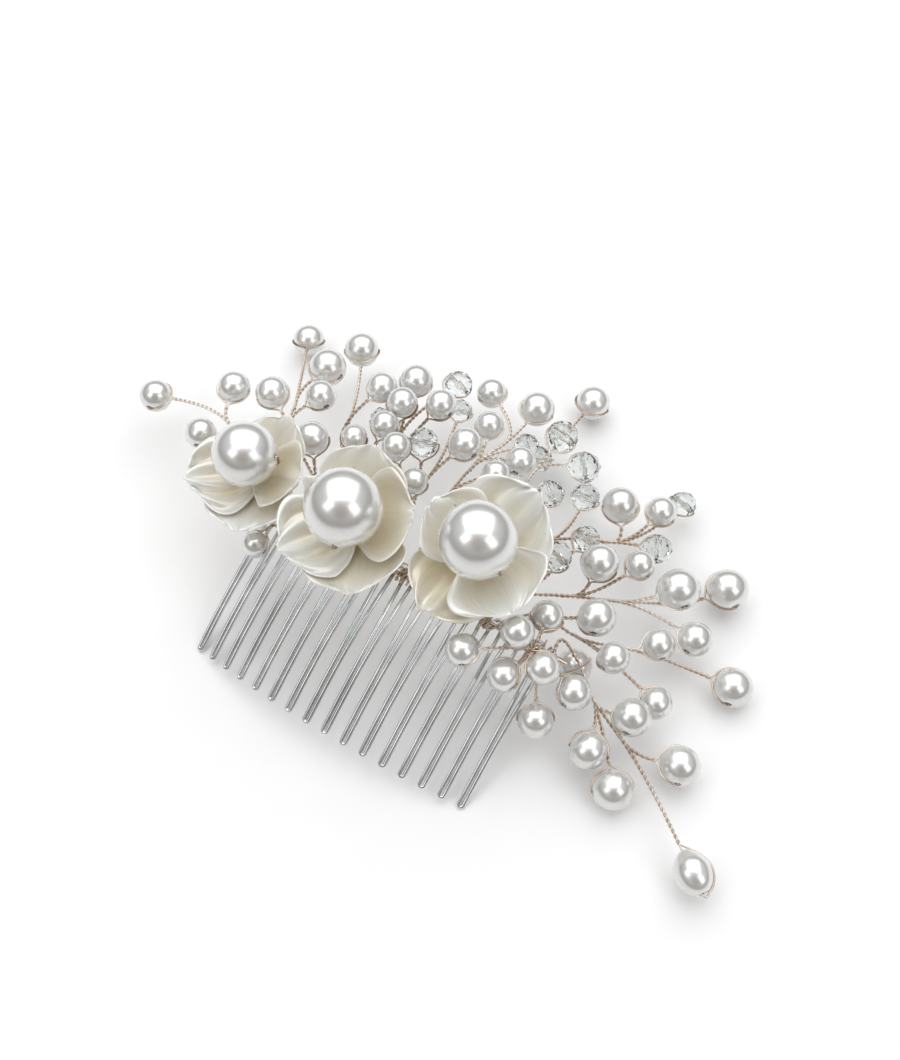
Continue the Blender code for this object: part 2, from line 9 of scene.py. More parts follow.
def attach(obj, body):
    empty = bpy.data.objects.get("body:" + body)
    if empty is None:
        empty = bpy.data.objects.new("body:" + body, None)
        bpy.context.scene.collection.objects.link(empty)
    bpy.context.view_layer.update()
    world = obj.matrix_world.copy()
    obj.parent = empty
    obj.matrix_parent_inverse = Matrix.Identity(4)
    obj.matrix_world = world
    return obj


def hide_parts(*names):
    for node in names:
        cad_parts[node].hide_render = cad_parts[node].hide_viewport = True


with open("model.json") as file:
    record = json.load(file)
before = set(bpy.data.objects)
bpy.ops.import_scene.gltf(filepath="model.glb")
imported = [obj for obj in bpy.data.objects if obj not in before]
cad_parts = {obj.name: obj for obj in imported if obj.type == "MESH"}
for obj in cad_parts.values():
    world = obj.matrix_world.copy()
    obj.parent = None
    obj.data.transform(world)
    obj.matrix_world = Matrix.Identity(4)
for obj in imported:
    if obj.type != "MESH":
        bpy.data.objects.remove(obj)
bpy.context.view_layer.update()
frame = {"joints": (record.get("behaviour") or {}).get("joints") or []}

# ------------------------------------------------------------------ table, camera and lights
# The comb lies on a pale table under a ceiling of soft light.  Three soft boxes hang over it:
# one overhead and one on each side of the camera, so that every pearl shows a bright window
# with a darker notch in it.

MM = 0.001


def made_material(name, values):
    """A new material whose shader starts from these socket values."""
    material = bpy.data.materials.new(name)
    material.use_nodes = True
    shader = material.node_tree.nodes["Principled BSDF"]
    for socket, value in values.items():
        shader.inputs[socket].default_value = value
    return material


def node(material, kind, values=None, **settings):
    """A node in a material (or in any node tree), with its values and settings."""
    tree = getattr(material, "node_tree", material)
    made = tree.nodes.new(kind)
    for setting, value in settings.items():
        setattr(made, setting, value)
    for socket, value in (values or {}).items():
        made.inputs[socket].default_value = value
    return made


def link(material, source, target):
    tree = getattr(material, "node_tree", material)
    tree.links.new(source, target)


def socket(material, name):
    return material.node_tree.nodes["Principled BSDF"].inputs[name]


def ramp(material, factor, stops):
    """A colour ramp on a factor; each stop is a place from 0 to 1 and a colour."""
    made = node(material, "ShaderNodeValToRGB")
    while len(made.color_ramp.elements) < len(stops):
        made.color_ramp.elements.new(0.5)
    for element, (place, colour) in zip(made.color_ramp.elements, stops):
        element.position = place
        element.color = (*colour, 1.0)
    link(material, factor, made.inputs["Fac"])
    return made.outputs["Color"]


def grain(material, scale, stretch=(1, 1, 1), detail=3.0, source="Object"):
    """Noise over the piece, stretched where a finish runs one way."""
    place = node(material, "ShaderNodeTexCoord")
    mapping = node(material, "ShaderNodeMapping", {"Scale": stretch})
    made = node(material, "ShaderNodeTexNoise", {"Scale": scale, "Detail": detail})
    link(material, place.outputs[source], mapping.inputs["Vector"])
    link(material, mapping.outputs["Vector"], made.inputs["Vector"])
    return made.outputs["Fac"]


def between(material, factor, low, high):
    """A factor spread over a range of values."""
    made = node(material, "ShaderNodeMapRange", {"To Min": low, "To Max": high})
    link(material, factor, made.inputs["Value"])
    return made.outputs["Result"]


def bump(material, height, depth, strength=1.0):
    made = node(material, "ShaderNodeBump", {"Strength": strength, "Distance": depth})
    link(material, height, made.inputs["Height"])
    link(material, made.outputs["Normal"], socket(material, "Normal"))


pearl_turn = next(joint for joint in frame["joints"] if joint["name"] == "middle_pearl_turn")
MIDDLE_PEARL = Vector(pearl_turn["pos_m"])

table_finish = made_material("table_top", {"Roughness": 0.55})
speck = grain(table_finish, 60.0, detail=2.0)
link(table_finish, ramp(table_finish, speck, [(0.3, (0.96, 0.96, 0.96)), (0.7, (0.98, 0.98, 0.98))]),
     socket(table_finish, "Base Color"))
bpy.ops.mesh.primitive_plane_add(size=6.0)
table = bpy.context.object
table.name = "table_top"
table.data.materials.append(table_finish)

CAMERA_TURN = math.radians(32.35)
CAMERA_RISE = math.radians(60.6)
CAMERA_DISTANCE = 302.4 * MM
AIM = Vector((MIDDLE_PEARL.x + 7.0 * MM, MIDDLE_PEARL.y + 23.3 * MM, 0))
back = Vector((math.sin(CAMERA_TURN) * math.cos(CAMERA_RISE),
               -math.cos(CAMERA_TURN) * math.cos(CAMERA_RISE), math.sin(CAMERA_RISE)))
right = Vector((math.cos(CAMERA_TURN), math.sin(CAMERA_TURN), 0))
away = Vector((-math.sin(CAMERA_TURN), math.cos(CAMERA_TURN), 0))
lens = bpy.data.cameras.new("camera")
lens.lens = 51.96
lens.sensor_width = 36.0
lens.clip_start = 0.01
camera = bpy.data.objects.new("camera", lens)
camera.location = AIM + back * CAMERA_DISTANCE
camera.rotation_euler = back.to_track_quat("Z", "Y").to_euler()
bpy.context.scene.collection.objects.link(camera)
bpy.context.scene.camera = camera


def soft_box(name, place, width, depth, brightness, colour):
    """A rectangular soft light at a place, turned to face the comb."""
    lamp = bpy.data.lights.new(name, "AREA")
    lamp.shape = "RECTANGLE"
    lamp.size = width
    lamp.size_y = depth
    lamp.energy = brightness * math.pi * width * depth
    lamp.color = colour
    holder = bpy.data.objects.new(name, lamp)
    holder.location = AIM + place
    holder.rotation_euler = place.to_track_quat("Z", "Y").to_euler()
    bpy.context.scene.collection.objects.link(holder)


up = Vector((0, 0, 1))
soft_box("overhead_box", up * 0.60 + away * 0.26, 1.05, 0.90, 1.25, (1.0, 1.0, 1.0))
soft_box("right_box", up * 0.42 - away * 0.30 + right * 0.36, 0.26, 0.40, 1.5, (0.97, 0.98, 1.0))
soft_box("left_box", up * 0.46 - away * 0.20 - right * 0.38, 0.26, 0.32, 1.4, (0.97, 0.98, 1.0))

# The room is dim and warm low down and behind the camera, and paler towards its ceiling.
sky = bpy.data.worlds.new("room")
sky.use_nodes = True
heading = node(sky, "ShaderNodeTexCoord")
split = node(sky, "ShaderNodeSeparateXYZ")
link(sky, heading.outputs["Generated"], split.inputs["Vector"])
glow = ramp(sky, split.outputs["Z"], [(0.0, (0.12, 0.11, 0.10)), (0.30, (0.32, 0.31, 0.29)),
                                      (0.55, (0.50, 0.50, 0.50)), (0.9, (0.60, 0.62, 0.64))])
behind_camera = node(sky, "ShaderNodeVectorMath", {1: up * 0.75 - away * 0.66},
                     operation="DOT_PRODUCT")
link(sky, heading.outputs["Generated"], behind_camera.inputs[0])
shade = ramp(sky, behind_camera.outputs["Value"], [(0.86, (1.0, 1.0, 1.0)), (0.97, (0.42, 0.30, 0.22))])
room_glow = node(sky, "ShaderNodeMix", {"Factor": 1.0}, data_type="RGBA", blend_type="MULTIPLY")
link(sky, glow, room_glow.inputs["A"])
link(sky, shade, room_glow.inputs["B"])
link(sky, room_glow.outputs["Result"], sky.node_tree.nodes["Background"].inputs["Color"])
bpy.context.scene.world = sky
bpy.context.scene.view_settings.view_transform = "Standard"

# ------------------------------------------------------------------ comb teeth
# The comb is one bright plated wire bent back and forth into sixteen two-leg teeth.  The legs
# of a tooth are pinched together over its last third, and the whole row is arched to the head.

TOOTH_COUNT = 16
TOOTH_PITCH = 4.0 * MM
TOOTH_LENGTH = 32.0 * MM
TOOTH_WIRE = 0.8 * MM
PINCH_GAP = 0.1 * MM
PINCH_START = 0.66
PINCH_EASE = 1.5
SLOPE_AT_BAR = math.radians(14)
SLOPE_AT_TIP = math.radians(34)
ARCH_RADIUS = 66.5 * MM
ARCH_TILT = math.radians(27.7)
COMB_HALF = (TOOTH_COUNT - 1) * TOOTH_PITCH / 2
SLOT_SHIFT = 0.86
MIDDLE_SLOT = 5


def bar_drop_and_run(along):
    """How far a tooth has dropped and come forward at a distance from the bar."""
    turn = (SLOPE_AT_TIP - SLOPE_AT_BAR) / TOOTH_LENGTH
    slope = SLOPE_AT_BAR + turn * along
    drop = (math.cos(SLOPE_AT_BAR) - math.cos(slope)) / turn
    run = (math.sin(slope) - math.sin(SLOPE_AT_BAR)) / turn
    return drop, run


def slot_across(slot):
    """Where a slot lies across the comb: the coils on the vine sit between two binding turns."""
    return -COMB_HALF + (slot - 1 + SLOT_SHIFT) * TOOTH_PITCH


arch_sag = ARCH_RADIUS * (1 - math.cos(COMB_HALF / ARCH_RADIUS)) * math.cos(ARCH_TILT)
BAR_Z = bar_drop_and_run(TOOTH_LENGTH)[0] + arch_sag + TOOTH_WIRE / 2
# The middle flower's pearl is laid out from its slot, so its axis says where the bar lies here.
BAR_MIDDLE = MIDDLE_PEARL - Vector((0.5, -2, 17)) * MM \
    - Vector((slot_across(MIDDLE_SLOT), 0, BAR_Z))


def on_comb(across, along, out=0.0):
    """A point on the comb: across the teeth, along them from the bar, out of the surface."""
    angle = across / ARCH_RADIUS
    drop, run = bar_drop_and_run(max(along, 0.0))
    behind = min(along, 0.0)
    rise = (ARCH_RADIUS + out) * math.cos(angle) - ARCH_RADIUS
    x = (ARCH_RADIUS + out) * math.sin(angle)
    y = -run - behind * math.cos(SLOPE_AT_BAR) - rise * math.sin(ARCH_TILT)
    z = BAR_Z - drop - behind * math.sin(SLOPE_AT_BAR) + rise * math.cos(ARCH_TILT)
    return BAR_MIDDLE + Vector((x, y, z))


def arc(start, stop, steps):
    """Angles from start to stop, in radians, from values in degrees."""
    return [math.radians(start + (stop - start) * step / steps) for step in range(steps + 1)]


def tooth_path():
    """Down one leg, round the tip, up the other leg, and over to the next tooth."""
    wide = TOOTH_PITCH / 4
    pinched = (TOOTH_WIRE + PINCH_GAP) / 2
    leg_steps = 14
    path = []
    for tooth in range(TOOTH_COUNT):
        middle = -COMB_HALF + tooth * TOOTH_PITCH
        leg = []
        for step in range(leg_steps + 1):
            along = (TOOTH_LENGTH - pinched) * step / leg_steps
            closing = min(1.0, along / (PINCH_START * TOOTH_LENGTH))
            closing = 1 - (1 - closing) ** PINCH_EASE
            leg.append((wide + (pinched - wide) * closing, along))
        path += [on_comb(middle - half, along) for half, along in leg]
        path += [on_comb(middle - pinched * math.cos(turn),
                         TOOTH_LENGTH - pinched + pinched * math.sin(turn))
                 for turn in arc(25, 155, 6)]
        path += [on_comb(middle + half, along) for half, along in reversed(leg)]
        if tooth < TOOTH_COUNT - 1:
            path += [on_comb(middle + 2 * wide - wide * math.cos(turn), -wide * math.sin(turn))
                     for turn in arc(18, 162, 8)]
    return path


def wire_tree():
    """Round wire drawn along every path, closed at its ends."""
    tree = bpy.data.node_groups.new("round_wire", "GeometryNodeTree")
    face = tree.interface
    face.new_socket("Paths", in_out="INPUT", socket_type="NodeSocketGeometry")
    face.new_socket("Wire radius", in_out="INPUT", socket_type="NodeSocketFloat")
    face.new_socket("Sides", in_out="INPUT", socket_type="NodeSocketInt")
    face.new_socket("Finish", in_out="INPUT", socket_type="NodeSocketMaterial")
    face.new_socket("Wire", in_out="OUTPUT", socket_type="NodeSocketGeometry")
    given = node(tree, "NodeGroupInput")
    ring = node(tree, "GeometryNodeCurvePrimitiveCircle")
    link(tree, given.outputs["Wire radius"], ring.inputs["Radius"])
    link(tree, given.outputs["Sides"], ring.inputs["Resolution"])
    body = node(tree, "GeometryNodeCurveToMesh", {"Fill Caps": True})
    link(tree, given.outputs["Paths"], body.inputs["Curve"])
    link(tree, ring.outputs["Curve"], body.inputs["Profile Curve"])
    finish_wire(tree, given, body.outputs["Mesh"])
    return tree


def finish_wire(tree, given, mesh):
    """Smooth shading, the finish, and one plain mesh out of the tree."""
    smooth = node(tree, "GeometryNodeSetShadeSmooth")
    link(tree, mesh, smooth.inputs["Geometry"])
    whole = node(tree, "GeometryNodeRealizeInstances")
    link(tree, smooth.outputs["Geometry"], whole.inputs["Geometry"])
    dressed = node(tree, "GeometryNodeSetMaterial")
    link(tree, whole.outputs["Geometry"], dressed.inputs["Geometry"])
    link(tree, given.outputs["Finish"], dressed.inputs["Material"])
    out = node(tree, "NodeGroupOutput")
    link(tree, dressed.outputs["Geometry"], out.inputs[0])


def drawn(tree, start, values):
    """The plain mesh that a tree makes of a starting object, which is then thrown away."""
    bpy.context.scene.collection.objects.link(start)
    maker = start.modifiers.new("maker", "NODES")
    maker.node_group = tree
    for item in tree.interface.items_tree:
        if item.in_out == "INPUT" and item.name in values:
            maker[item.identifier] = values[item.name]
    bpy.context.view_layer.update()
    graph = bpy.context.evaluated_depsgraph_get()
    mesh = bpy.data.meshes.new_from_object(start.evaluated_get(graph))
    bpy.data.objects.remove(start, do_unlink=True)
    return mesh


def path_object(paths):
    """A starting object that holds one open spline for each path."""
    curve = bpy.data.curves.new("paths", "CURVE")
    curve.dimensions = "3D"
    for path in paths:
        spline = curve.splines.new("POLY")
        spline.points.add(len(path) - 1)
        for knot, place in zip(spline.points, path):
            knot.co = (*place, 1.0)
    return bpy.data.objects.new("paths", curve)


def smooth_path(knots, steps=6):
    """A curve that passes through every knot without corners."""
    ends = [2 * knots[0] - knots[1]] + list(knots) + [2 * knots[-1] - knots[-2]]
    path = []
    for index in range(len(knots) - 1):
        a, b, c, d = ends[index:index + 4]
        for step in range(steps):
            t = step / steps
            path.append(b + (c - a) * t / 2 + (2 * a - 5 * b + 4 * c - d) * t * t / 2
                        + (3 * b - a - 3 * c + d) * t ** 3 / 2)
    return path + [knots[-1]]


def piece(name, meshes, body, nodes=()):
    """A finished piece from its meshes: it rides a body and stands for its CAD nodes."""
    shape = bmesh.new()
    for mesh in meshes:
        shape.from_mesh(mesh)
    whole = meshes[0]
    shape.to_mesh(whole)
    shape.free()
    whole.name = name
    made = bpy.data.objects.new(name, whole)
    bpy.context.scene.collection.objects.link(made)
    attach(made, body)
    if nodes:
        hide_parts(*nodes)
    return made


plated = made_material("plated_wire", {"Metallic": 1.0})
draw_lines = grain(plated, 420.0, (1.0, 0.04, 0.12), detail=1.0)
tarnish = grain(plated, 140.0, detail=4.0)
link(plated, ramp(plated, tarnish, [(0.35, (0.58, 0.60, 0.61)), (0.65, (0.80, 0.82, 0.83))]),
     socket(plated, "Base Color"))
link(plated, between(plated, draw_lines, 0.06, 0.16), socket(plated, "Roughness"))

round_wire = wire_tree()
teeth = drawn(round_wire, path_object([tooth_path()]),
              {"Wire radius": TOOTH_WIRE / 2, "Sides": 14, "Finish": plated})
piece("tooth_wire", [teeth], "comb", ["comb_teeth"])

# ------------------------------------------------------------------ bar and vine wire
# A straight plated wire lies over the teeth as the comb's bar.  A softer champagne wire, the
# vine, runs above it and carries every flower and spray.

CLEARANCE = 0.3 * MM
BAR_WIRE = 1.2 * MM
BAR_OVERHANG = 1.5 * MM
VINE_WIRE = 1.0 * MM
VINE_OVERHANG = 3.0 * MM
STEM_TWIST = 0.8 * MM
BAR_HEIGHT = TOOTH_WIRE / 2 + CLEARANCE + BAR_WIRE / 2
COIL_RADIUS = VINE_WIRE / 2 + CLEARANCE + STEM_TWIST / 2
VINE_HEIGHT = BAR_HEIGHT + BAR_WIRE / 2 + CLEARANCE + STEM_TWIST / 2 + COIL_RADIUS


def along_bar(half_length, out):
    steps = 48
    return [on_comb(-half_length + 2 * half_length * step / steps, 0.0, out)
            for step in range(steps + 1)]


bar = drawn(round_wire, path_object([along_bar(COMB_HALF + BAR_OVERHANG, BAR_HEIGHT)]),
            {"Wire radius": BAR_WIRE / 2, "Sides": 16, "Finish": plated})
piece("bar_wire", [bar], "comb", ["comb_bar"])

champagne = made_material("champagne_wire", {"Metallic": 1.0})
plating = grain(champagne, 45.0, detail=3.0)
link(champagne, ramp(champagne, plating, [(0.30, (0.36, 0.25, 0.18)), (0.48, (0.60, 0.48, 0.38)),
                                          (0.70, (0.84, 0.77, 0.69))]),
     socket(champagne, "Base Color"))
rub = grain(champagne, 900.0, detail=3.0)
link(champagne, between(champagne, rub, 0.16, 0.30), socket(champagne, "Roughness"))
bump(champagne, rub, 0.01 * MM, 0.6)

vine = drawn(round_wire, path_object([along_bar(COMB_HALF + VINE_OVERHANG, VINE_HEIGHT)]),
             {"Wire radius": VINE_WIRE / 2, "Sides": 14, "Finish": champagne})
piece("vine", [vine], "comb", ["vine_wire"])

# ------------------------------------------------------------------ binding
# A fine champagne wire is wound round teeth, bar and vine, one turn to each tooth, and passes
# between the two legs of the tooth on the way down.

BINDING_WIRE = 0.4 * MM
BINDING_REACH = 1.65 * MM
BINDING_SHIFT = -0.3 * MM


def binding_path():
    low = -TOOTH_WIRE / 2 - CLEARANCE - BINDING_WIRE / 2
    high = VINE_HEIGHT + VINE_WIRE / 2 + CLEARANCE + BINDING_WIRE / 2
    centre_out = (low + high) / 2
    half_out = (high - low) / 2
    steps_per_turn = 28
    start = -math.asin(min(1.0, centre_out / half_out))
    path = []
    for step in range((TOOTH_COUNT - 1) * steps_per_turn + 1):
        turn = step / steps_per_turn
        angle = start + turn * 2 * math.pi
        path.append(on_comb(-COMB_HALF + turn * TOOTH_PITCH,
                            BINDING_SHIFT + BINDING_REACH * math.cos(angle),
                            centre_out + half_out * math.sin(angle)))
    return path


binding = drawn(round_wire, path_object([binding_path()]),
                {"Wire radius": BINDING_WIRE / 2, "Sides": 8, "Finish": champagne})
piece("binding", [binding], "comb", ["binding_wire"])

# ------------------------------------------------------------------ spray stems
# Each spray is two champagne strands twisted together.  Its tail is wound round the vine, its
# stem forks to every bead, and at a bead the two strands part, hug its sides and meet in its
# bore, which pulls it tight.

SLOTS = ("spray_far_left", "flower_left", "spray_under", "spray_back_left", "spray_mid_left",
         "flower_middle", "spray_middle", "spray_inner", "spray_back", "spray_back_right",
         "flower_right", "spray_high_right", "spray_long_right", "spray_right", "spray_front",
         "spray_low_right")
COIL_TURNS = 1.25
COIL_STEP = 0.85 * MM
FRONT_MARGIN = 1.5 * MM
STRAND = 0.36 * MM
TWIST_LAY = 2.1 * MM
FORK_RUN = 1.6 * MM
TWIST_END = 0.9 * MM
DROP_STRETCH = 1.25
PEARL_UNEVENNESS = 0.2 * MM

# Each spray: the points its stem passes, then its beads.  A bead is its centre, its size, what
# it is (P pearl, C crystal, D drop pearl), the stem point it forks from, and the CAD node that
# it stands for when it has its own.  All in millimetres from the spray's slot on the bar.
SPRAYS = {
    "spray_far_left": (
        [(-7.5, 8, -6), (-17.5, 12, -6)],
        [((-35.5, 11, -9), 6.5, "P", 1, "pearl_far_left"),
         ((-19.5, 6, -3), 6.0, "P", 0, None),
         ((-21.5, 19, -5), 6.5, "P", 1, "pearl_left")]),
    "spray_under": (
        [(-1.5, -4, 0)],
        [((-3.5, -9, -1), 5.0, "P", 0, None)]),
    "spray_back_left": (
        [(-6.5, 9, -4), (-18.5, 17, -5), (-21.5, 23, -6)],
        [((-11.5, 15, 0), 6.5, "P", 0, None),
         ((-25.5, 21, -3), 6.5, "P", 1, None),
         ((-16.5, 25, -2), 6.0, "P", 1, None),
         ((-21.5, 34, -7), 7.5, "P", 2, "pearl_back_left"),
         ((-32.5, 42, -15), 6.5, "P", 2, "pearl_far_back_left")]),
    "spray_mid_left": (
        [(-3.5, 9, -4), (-12.5, 20, -5), (-14.5, 26, -6)],
        [((-8.5, 19, 1), 5.0, "P", 0, None),
         ((-5.5, 25, 0), 5.5, "P", 0, None),
         ((-11.5, 33, -2), 6.0, "P", 1, None),
         ((-23.5, 43, -10), 7.0, "P", 2, "pearl_mid_back_left")]),
    "spray_middle": (
        [(-3.5, 9, -3), (-8.5, 19, -5), (-11.5, 26, -6)],
        [((-6.5, 34, 1), 6.0, "P", 1, None),
         ((-16.5, 28, -4), 4.5, "C", 1, None),
         ((-13.5, 31, 0), 6.0, "P", 1, None),
         ((-15.5, 39, -4), 6.5, "P", 2, "pearl_middle"),
         ((-9.5, 45, -8), 6.0, "C", 2, "crystal_middle")]),
    "spray_inner": (
        [(-2.5, 9, -3), (-5.5, 17, -5), (-6.5, 25, -7)],
        [((-11.5, 20, 4), 5.5, "P", 0, None),
         ((-5.5, 17, 1), 5.0, "P", 0, None),
         ((-9.5, 26, -1), 6.0, "C", 1, None),
         ((-2.5, 30, -1), 6.5, "P", 1, None),
         ((-10.5, 41, -10), 5.0, "C", 2, None)]),
    "spray_back": (
        [(-2.5, 10, -3), (-4.5, 20, -5), (-4.5, 30, -7), (-2.5, 38, -8)],
        [((1.5, 28, -2), 5.5, "P", 1, None),
         ((3.5, 34, -4), 6.0, "P", 2, None),
         ((-6.5, 39, -6), 5.5, "P", 2, None),
         ((1.5, 40, -8), 5.0, "C", 2, None),
         ((-11.5, 48, -10), 6.0, "P", 3, "pearl_back"),
         ((-1.5, 49, -9), 7.0, "P", 3, "pearl_far_back")]),
    "spray_back_right": (
        [(-0.5, 11, -3), (1.5, 23, -6), (1.5, 36, -9)],
        [((7.5, 32, -6), 5.5, "C", 1, None),
         ((2.5, 45, -7), 6.5, "C", 2, None),
         ((8.5, 44, -12), 6.5, "C", 2, "crystal_back_right"),
         ((-0.5, 42, -14), 5.5, "C", 2, None),
         ((1.5, 60, -15), 7.0, "P", 2, "pearl_back_right")]),
    "spray_high_right": (
        [(-0.5, 12, -3), (4.5, 24, -7), (13.5, 31, -10)],
        [((4.5, 37, -10), 5.8, "C", 1, None),
         ((11.5, 38, -8), 7.0, "P", 2, "pearl_high_right"),
         ((18.5, 42, -10), 6.0, "P", 2, None),
         ((20.5, 48, -14), 5.5, "C", 2, None),
         ((21.5, 35, -11), 5.8, "C", 2, "crystal_high_right")]),
    "spray_long_right": (
        [(2.5, 9, -3), (9.5, 15, -6), (16.5, 20, -9), (24.5, 27, -13.5)],
        [((6.5, 26, -4), 5.3, "C", 0, None),
         ((4.5, 18, 0), 6.0, "C", 0, None),
         ((11.5, 22, -2), 7.0, "P", 1, "pearl_inner_right"),
         ((17.5, 27, -5), 5.5, "P", 1, None),
         ((25.5, 28, -8), 8.0, "P", 2, "pearl_long_right"),
         ((32.5, 36, -14), 8.0, "P", 3, "pearl_long_tip"),
         ((32.5, 22, -11), 6.5, "P", 2, None)]),
    "spray_right": (
        [(4.5, 8, -4), (11.5, 9, -7), (18.5, 13, -10)],
        [((12.5, 12, -2), 7.0, "P", 0, None),
         ((23.5, 17, -10), 6.0, "P", 2, None),
         ((18.5, 8, -5), 6.0, "P", 1, None),
         ((28.5, 7, -11), 6.0, "P", 1, None),
         ((38.5, 19, -15), 7.5, "P", 2, "pearl_right_tip")]),
    "spray_front": (
        [(2.5, -2, 1)],
        [((1.5, 6, 1), 6.0, "P", 0, None),
         ((-0.5, -1, 5), 6.0, "P", 0, None),
         ((6, -3, 1), 6.0, "P", 0, None),
         ((12, -2, -4), 6.5, "P", 0, "pearl_front"),
         ((-7.5, -8, 2), 6.0, "P", 0, None),
         ((0.5, -7, -1), 6.0, "P", 0, None),
         ((8.5, -9, -7), 6.5, "P", 0, "pearl_front_low")]),
    "spray_low_right": (
        [(5.5, 4, -5), (10.5, 1, -9), (18.5, -2, -12)],
        [((4.5, 5, -10), 6.5, "P", 0, None),
         ((14.5, -7, -12), 7.0, "P", 1, None),
         ((18.5, 1, -8), 7.0, "P", 1, None),
         ((21.5, -10, -15), 7.5, "P", 1, "pearl_low_near"),
         ((29.5, 0, -14), 7.5, "P", 2, "pearl_low_right"),
         ((40.5, -16, -14), 6.8, "D", 2, "pearl_drop")]),
}


def twisted_tree():
    """Two strands wound round every path, as a twisted pair."""
    tree = bpy.data.node_groups.new("twisted_pair", "GeometryNodeTree")
    face = tree.interface
    face.new_socket("Paths", in_out="INPUT", socket_type="NodeSocketGeometry")
    face.new_socket("Strand radius", in_out="INPUT", socket_type="NodeSocketFloat")
    face.new_socket("Lay", in_out="INPUT", socket_type="NodeSocketFloat")
    face.new_socket("Sides", in_out="INPUT", socket_type="NodeSocketInt")
    face.new_socket("Finish", in_out="INPUT", socket_type="NodeSocketMaterial")
    face.new_socket("Wire", in_out="OUTPUT", socket_type="NodeSocketGeometry")
    given = node(tree, "NodeGroupInput")

    def maths(operation, first, second):
        made = node(tree, "ShaderNodeMath", operation=operation)
        for place, value in enumerate((first, second)):
            if isinstance(value, (int, float)):
                made.inputs[place].default_value = value
            else:
                link(tree, value, made.inputs[place])
        return made.outputs[0]

    stepped = node(tree, "GeometryNodeResampleCurve", mode="LENGTH")
    link(tree, given.outputs["Paths"], stepped.inputs["Curve"])
    link(tree, maths("DIVIDE", given.outputs["Lay"], 10.0), stepped.inputs["Length"])
    pair = node(tree, "GeometryNodeDuplicateElements", {"Amount": 2}, domain="SPLINE")
    link(tree, stepped.outputs["Curve"], pair.inputs["Geometry"])
    travelled = node(tree, "GeometryNodeSplineParameter").outputs["Length"]
    turns = maths("DIVIDE", travelled, given.outputs["Lay"])
    half_turn = maths("MULTIPLY", pair.outputs["Duplicate Index"], 0.5)
    angle = maths("MULTIPLY", maths("ADD", turns, half_turn), 2 * math.pi)

    normal = node(tree, "GeometryNodeInputNormal").outputs["Normal"]
    tangent = node(tree, "GeometryNodeInputTangent").outputs["Tangent"]
    side = node(tree, "ShaderNodeVectorMath", operation="CROSS_PRODUCT")
    link(tree, tangent, side.inputs[0])
    link(tree, normal, side.inputs[1])

    def along(direction, amount):
        made = node(tree, "ShaderNodeVectorMath", operation="SCALE")
        link(tree, direction, made.inputs[0])
        link(tree, amount, made.inputs["Scale"])
        return made.outputs[0]

    reach = given.outputs["Strand radius"]
    first = along(normal, maths("MULTIPLY", reach, maths("COSINE", angle, 0)))
    second = along(side.outputs[0], maths("MULTIPLY", reach, maths("SINE", angle, 0)))
    shift = node(tree, "ShaderNodeVectorMath", operation="ADD")
    link(tree, first, shift.inputs[0])
    link(tree, second, shift.inputs[1])
    wound = node(tree, "GeometryNodeSetPosition")
    link(tree, pair.outputs["Geometry"], wound.inputs["Geometry"])
    link(tree, shift.outputs[0], wound.inputs["Offset"])

    ring = node(tree, "GeometryNodeCurvePrimitiveCircle")
    link(tree, reach, ring.inputs["Radius"])
    link(tree, given.outputs["Sides"], ring.inputs["Resolution"])
    body = node(tree, "GeometryNodeCurveToMesh", {"Fill Caps": True})
    link(tree, wound.outputs["Geometry"], body.inputs["Curve"])
    link(tree, ring.outputs["Curve"], body.inputs["Profile Curve"])
    finish_wire(tree, given, body.outputs["Mesh"])
    return tree


def slot_point(slot, place):
    """A point laid out in millimetres from a slot, in the frame."""
    return BAR_MIDDLE + Vector((slot_across(slot), 0, BAR_Z)) + Vector(place) * MM


def tail_path(slot, first_stop):
    """A stem's tail round the vine, leaving over the top towards the stem's first stop."""
    steps_per_turn = 14
    steps = round(COIL_TURNS * steps_per_turn)
    vine_here = on_comb(slot_across(slot), 0, VINE_HEIGHT)
    side = -1 if first_stop.y < vine_here.y - FRONT_MARGIN else 1
    path = []
    for step in range(steps + 1):
        angle = 2 * math.pi * (step - steps) / steps_per_turn + math.pi / 2
        across = slot_across(slot) + COIL_STEP * (step / steps_per_turn - COIL_TURNS / 2)
        path.append(on_comb(across, side * COIL_RADIUS * math.cos(angle),
                            VINE_HEIGHT + COIL_RADIUS * math.sin(angle)))
    path.append(on_comb(across, -side * 3.0 * COIL_RADIUS, VINE_HEIGHT + 0.3 * COIL_RADIUS))
    return path


def branch_path(stem, stop, centre, radius):
    """From inside the stem, bending off to the foot of a bead."""
    before = stem[stem.index(stop) - 1]
    heading = (stop - before).normalized()
    span = (centre - stop).length
    control = stop + heading * 0.3 * span
    toward_stem = (control - centre).normalized()
    foot = centre + toward_stem * (radius + TWIST_END)
    path = [stop - heading * FORK_RUN]
    steps = 8
    for step in range(steps + 1):
        t = step / steps
        path.append(stop * (1 - t) ** 2 + control * 2 * t * (1 - t) + foot * t * t)
    return path, toward_stem


def loop_path(centre, radius, toward_stem, bore_axis):
    """One wire from the foot of a bead round its side, through its bore and back."""
    hug = radius + STRAND * 0.35
    side = [centre + toward_stem * (radius + TWIST_END + 0.5 * MM) + bore_axis * STRAND * 0.5,
            centre + toward_stem * (radius + TWIST_END * 0.6) + bore_axis * STRAND * 0.7]
    for turn in arc(26, 76, 6):
        side.append(centre + (toward_stem * math.cos(turn) + bore_axis * math.sin(turn)) * hug)
    side.append(centre + bore_axis * radius + toward_stem * STRAND * 0.2)
    side.append(centre + bore_axis * radius * 0.85)
    mirror = [place - 2 * (place - centre).dot(bore_axis) * bore_axis for place in side]
    return smooth_path(side + mirror[::-1], 3)


